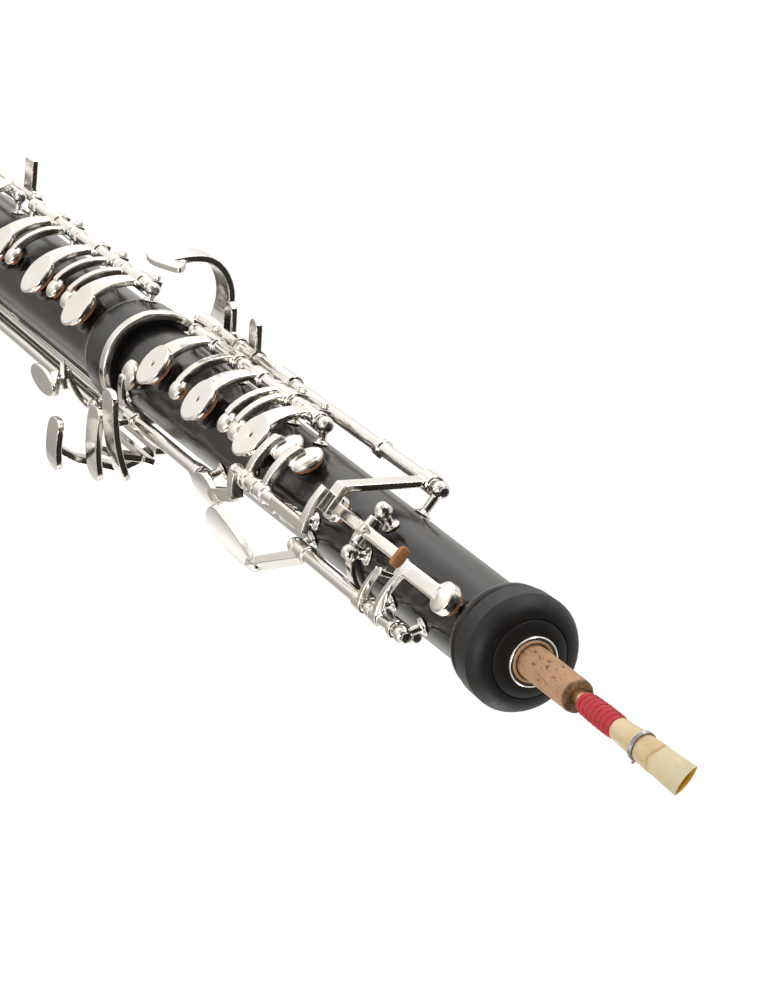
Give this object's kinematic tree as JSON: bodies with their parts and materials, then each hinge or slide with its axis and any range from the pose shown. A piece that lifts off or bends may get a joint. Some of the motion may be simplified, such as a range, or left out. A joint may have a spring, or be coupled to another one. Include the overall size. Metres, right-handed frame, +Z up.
{
  "type": "oboe",
  "caption": "Conservatoire oboe with a reed: dark wooden joints, silver-plated sprung keys on hinge rods, and tenons that pull apart.",
  "frame": {"origin": "centre of the bell mouth, on the bore axis", "axes": "+Z up the bore towards the reed, -Y towards the finger plates, +X towards the player's left hand side"},
  "size_m": [0.0718, 0.0566, 0.6575],
  "materials": {
    "grenadilla": "satin",
    "silver_plate": "polished",
    "steel": "satin",
    "cork": "matte",
    "pad_cork": "matte",
    "cane": "satin",
    "thread": "satin",
    "brass": "polished"
  },
  "bodies": {
    "bell": {"bell_body": "grenadilla", "bell_rings": "silver_plate", "bell_posts": "silver_plate", "bell_rod": "steel"},
    "lower_joint": {"lower_joint_body": "grenadilla", "lower_joint_ring": "silver_plate", "lower_tenon_cork": "cork", "lower_posts": "silver_plate", "lower_rods": "steel", "thumb_rest": "silver_plate", "thumb_rest_screws": "silver_plate"},
    "upper_joint": {"upper_joint_body": "grenadilla", "reed_well_liner": "silver_plate", "upper_tenon_cork": "cork", "upper_posts": "silver_plate", "upper_rods": "steel", "octave_vents": "silver_plate"},
    "reed": {"reed_staple": "brass", "reed_cork": "cork", "reed_thread": "thread", "reed_cane": "cane", "reed_wire": "brass"},
    "second_octave_key": {"second_octave_key": "silver_plate", "second_octave_key_pads": "pad_cork"},
    "side_octave_lever": {"side_octave_lever": "silver_plate"},
    "thumb_octave_lever": {"thumb_octave_lever": "silver_plate"},
    "upper_trill_key": {"upper_trill_key": "silver_plate", "upper_trill_key_pads": "pad_cork"},
    "lower_trill_key": {"lower_trill_key": "silver_plate", "lower_trill_key_pads": "pad_cork"},
    "right_trill_lever": {"right_trill_lever": "silver_plate"},
    "half_hole_plate": {"half_hole_plate": "silver_plate", "half_hole_plate_pads": "pad_cork"},
    "second_plate": {"second_plate": "silver_plate", "second_plate_pads": "pad_cork"},
    "third_plate": {"third_plate": "silver_plate", "third_plate_pads": "pad_cork"},
    "g_sharp_key": {"g_sharp_key": "silver_plate", "g_sharp_key_pads": "pad_cork"},
    "fourth_plate": {"fourth_plate": "silver_plate", "fourth_plate_pads": "pad_cork"},
    "fifth_plate": {"fifth_plate": "silver_plate", "fifth_plate_pads": "pad_cork"},
    "sixth_plate": {"sixth_plate": "silver_plate", "sixth_plate_pads": "pad_cork"},
    "low_c_key": {"low_c_key": "silver_plate", "low_c_key_pads": "pad_cork"},
    "low_c_sharp_key": {"low_c_sharp_key": "silver_plate", "low_c_sharp_key_pads": "pad_cork"},
    "e_flat_key": {"e_flat_key": "silver_plate", "e_flat_key_pads": "pad_cork"},
    "low_b_key": {"low_b_key": "silver_plate", "low_b_key_pads": "pad_cork"},
    "low_b_flat_key": {"low_b_flat_key": "silver_plate", "low_b_flat_key_pads": "pad_cork"},
    "low_b_flat_lever": {"low_b_flat_lever": "silver_plate"},
    "left_e_flat_lever": {"left_e_flat_lever": "silver_plate"},
    "low_b_lever": {"low_b_lever": "silver_plate"},
    "first_octave_key": {"first_octave_key": "silver_plate", "first_octave_key_pads": "pad_cork"}
  },
  "joints": [
    {"name": "bell_tenon_slide", "type": "slide", "parent": "bell", "child": "lower_joint", "axis": [0, 0, 1], "range_m": [0, 0.022]},
    {"name": "middle_tenon_slide", "type": "slide", "parent": "lower_joint", "child": "upper_joint", "axis": [0, 0, 1], "range_m": [0, 0.02]},
    {"name": "reed_pull", "type": "slide", "parent": "upper_joint", "child": "reed", "axis": [0, 0, 1], "range_m": [0, 0.03]},
    {"name": "second_octave_key_hinge", "type": "hinge", "parent": "upper_joint", "child": "second_octave_key", "pos_m": [0.0127, -0.00889, 0.554], "axis": [0, 0, 1], "range_deg": [0, 7.5], "stiffness_Nm_per_rad": 0.02, "springref_deg": -20.05},
    {"name": "side_octave_lever_hinge", "type": "hinge", "parent": "upper_joint", "child": "side_octave_lever", "pos_m": [0.0127, -0.00889, 0.524], "axis": [0, 0, 1], "range_deg": [0, 5], "stiffness_Nm_per_rad": 0.02, "springref_deg": -20.05},
    {"name": "thumb_octave_lever_hinge", "type": "hinge", "parent": "upper_joint", "child": "thumb_octave_lever", "pos_m": [0.01187, 0.00996, 0.519], "axis": [0, 0, 1], "range_deg": [0, 3], "stiffness_Nm_per_rad": 0.02, "springref_deg": -20.05},
    {"name": "upper_trill_key_hinge", "type": "hinge", "parent": "upper_joint", "child": "upper_trill_key", "pos_m": [0.00776, -0.01399, 0.491], "axis": [0, 0, 1], "range_deg": [0, 8], "stiffness_Nm_per_rad": 0.02, "springref_deg": -20.05},
    {"name": "lower_trill_key_hinge", "type": "hinge", "parent": "upper_joint", "child": "lower_trill_key", "pos_m": [0.00776, -0.01399, 0.475], "axis": [0, 0, 1], "range_deg": [0, 8], "stiffness_Nm_per_rad": 0.02, "springref_deg": -20.05},
    {"name": "right_trill_lever_hinge", "type": "hinge", "parent": "upper_joint", "child": "right_trill_lever", "pos_m": [-0.01779, -0.00062, 0.447], "axis": [0, 0, -1], "range_deg": [0, 3.5], "stiffness_Nm_per_rad": 0.02, "springref_deg": -20.05},
    {"name": "half_hole_plate_hinge", "type": "hinge", "parent": "upper_joint", "child": "half_hole_plate", "pos_m": [-0.01413, -0.00751, 0.466], "axis": [0, 0, 1], "range_deg": [0, 4.5], "stiffness_Nm_per_rad": 0.02, "springref_deg": -20.05},
    {"name": "second_plate_hinge", "type": "hinge", "parent": "upper_joint", "child": "second_plate", "pos_m": [-0.01413, -0.00751, 0.439], "axis": [0, 0, 1], "range_deg": [0, 4.5], "stiffness_Nm_per_rad": 0.02, "springref_deg": -20.05},
    {"name": "third_plate_hinge", "type": "hinge", "parent": "upper_joint", "child": "third_plate", "pos_m": [-0.01413, -0.00751, 0.404], "axis": [0, 0, 1], "range_deg": [0, 4.5], "stiffness_Nm_per_rad": 0.02, "springref_deg": -20.05},
    {"name": "g_sharp_key_hinge", "type": "hinge", "parent": "upper_joint", "child": "g_sharp_key", "pos_m": [0.01429, -0.00825, 0.391], "axis": [0, 0, 1], "range_deg": [0, 8], "stiffness_Nm_per_rad": 0.02, "springref_deg": -20.05},
    {"name": "fourth_plate_hinge", "type": "hinge", "parent": "lower_joint", "child": "fourth_plate", "pos_m": [-0.01642, -0.00873, 0.336], "axis": [0, 0, 1], "range_deg": [0, 4], "stiffness_Nm_per_rad": 0.02, "springref_deg": -20.05},
    {"name": "fifth_plate_hinge", "type": "hinge", "parent": "lower_joint", "child": "fifth_plate", "pos_m": [-0.01642, -0.00873, 0.302], "axis": [0, 0, 1], "range_deg": [0, 4], "stiffness_Nm_per_rad": 0.02, "springref_deg": -20.05},
    {"name": "sixth_plate_hinge", "type": "hinge", "parent": "lower_joint", "child": "sixth_plate", "pos_m": [-0.01642, -0.00873, 0.262], "axis": [0, 0, 1], "range_deg": [0, 4], "stiffness_Nm_per_rad": 0.02, "springref_deg": -20.05},
    {"name": "low_c_key_hinge", "type": "hinge", "parent": "lower_joint", "child": "low_c_key", "pos_m": [-0.01577, -0.00986, 0.207], "axis": [0, 0, 1], "range_deg": [0, 4], "stiffness_Nm_per_rad": 0.02, "springref_deg": -20.05},
    {"name": "low_c_sharp_key_hinge", "type": "hinge", "parent": "lower_joint", "child": "low_c_sharp_key", "pos_m": [-0.01855, -0.0013, 0.191], "axis": [0, 0, -1], "range_deg": [0, 7], "stiffness_Nm_per_rad": 0.02, "springref_deg": -20.05},
    {"name": "e_flat_key_hinge", "type": "hinge", "parent": "lower_joint", "child": "e_flat_key", "pos_m": [0.00674, -0.01669, 0.216], "axis": [0, 0, -1], "range_deg": [0, 8], "stiffness_Nm_per_rad": 0.02, "springref_deg": -20.05},
    {"name": "low_b_key_hinge", "type": "hinge", "parent": "lower_joint", "child": "low_b_key", "pos_m": [0.01221, -0.01456, 0.17], "axis": [0, 0, -1], "range_deg": [0, 4.5], "stiffness_Nm_per_rad": 0.02, "springref_deg": -20.05},
    {"name": "low_b_flat_key_hinge", "type": "hinge", "parent": "bell", "child": "low_b_flat_key", "pos_m": [0.01382, -0.01647, 0.068], "axis": [0, 0, -1], "range_deg": [0, 4], "stiffness_Nm_per_rad": 0.02, "springref_deg": -20.05},
    {"name": "low_b_flat_lever_hinge", "type": "hinge", "parent": "lower_joint", "child": "low_b_flat_lever", "pos_m": [0.01879, -0.00066, 0.234], "axis": [0, 0, 1], "range_deg": [0, 4], "stiffness_Nm_per_rad": 0.02, "springref_deg": -20.05},
    {"name": "left_e_flat_lever_hinge", "type": "hinge", "parent": "lower_joint", "child": "left_e_flat_lever", "pos_m": [0.01788, 0.00581, 0.289], "axis": [0, 0, 1], "range_deg": [0, 4], "stiffness_Nm_per_rad": 0.02, "springref_deg": -20.05},
    {"name": "low_b_lever_hinge", "type": "hinge", "parent": "lower_joint", "child": "low_b_lever", "pos_m": [0.01482, 0.01157, 0.274], "axis": [0, 0, 1], "range_deg": [0, 4], "stiffness_Nm_per_rad": 0.02, "springref_deg": -20.05},
    {"name": "first_octave_key_hinge", "type": "hinge", "parent": "upper_joint", "child": "first_octave_key", "pos_m": [0, -0.0139, 0.532], "axis": [-1, 0, 0], "range_deg": [0, 3.5], "stiffness_Nm_per_rad": 0.02, "springref_deg": -20.05}
  ],
  "couplings": [
    {"joint": "second_octave_key_hinge", "follows": "side_octave_lever_hinge", "ratio": 1.5},
    {"joint": "first_octave_key_hinge", "follows": "thumb_octave_lever_hinge", "ratio": 1.1666},
    {"joint": "upper_trill_key_hinge", "follows": "right_trill_lever_hinge", "ratio": 2.25},
    {"joint": "low_b_flat_key_hinge", "follows": "low_b_flat_lever_hinge", "ratio": 1},
    {"joint": "e_flat_key_hinge", "follows": "left_e_flat_lever_hinge", "ratio": 2},
    {"joint": "low_b_key_hinge", "follows": "low_b_lever_hinge", "ratio": 1.1}
  ]
}
